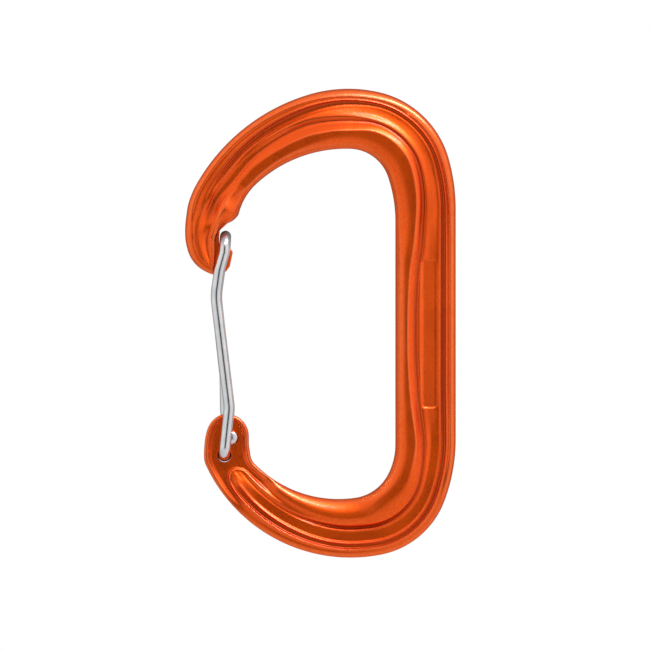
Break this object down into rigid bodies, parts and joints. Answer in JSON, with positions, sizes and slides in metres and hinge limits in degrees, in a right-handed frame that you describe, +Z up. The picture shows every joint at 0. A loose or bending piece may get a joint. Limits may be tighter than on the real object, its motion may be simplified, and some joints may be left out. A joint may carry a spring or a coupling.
{
  "type": "wire gate carabiner",
  "caption": "D-shaped wire-gate climbing carabiner: a forged I-beam body with a hooked nose and a sprung wire gate that swings into the body.",
  "frame": {"origin": "crown of the upper basket on the parting plane: the bearing point from which the carabiner hangs", "axes": "+Z up along the spine towards the upper basket, +X from the gate towards the spine, +Y through the thickness"},
  "size_m": [0.0582, 0.01, 0.1008],
  "materials": {
    "body": "orange anodised over a fine bead-blasted forging, satin",
    "wire": "drawn stainless spring wire, polished"
  },
  "bodies": {
    "frame": {"body": "body"},
    "gate_front": {"gate_wire_front": "wire"},
    "gate_rear": {"gate_wire_rear": "wire"}
  },
  "joints": [
    {"name": "gate_hinge", "type": "hinge", "parent": "frame", "child": "gate_front", "pos_m": [-0.0255, 0, -0.06569], "axis": [0, 1, 0], "range_deg": [0, 42], "stiffness_Nm_per_rad": 0.19, "springref_deg": -57.3},
    {"name": "crown_twist", "type": "hinge", "parent": "gate_front", "child": "gate_rear", "pos_m": [-0.02525, 0, -0.01872], "axis": [0, 1, 0], "range_deg": [0, 3.85]}
  ],
  "couplings": [
    {"joint": "crown_twist", "follows": "gate_hinge", "ratio": 0.0907}
  ]
}
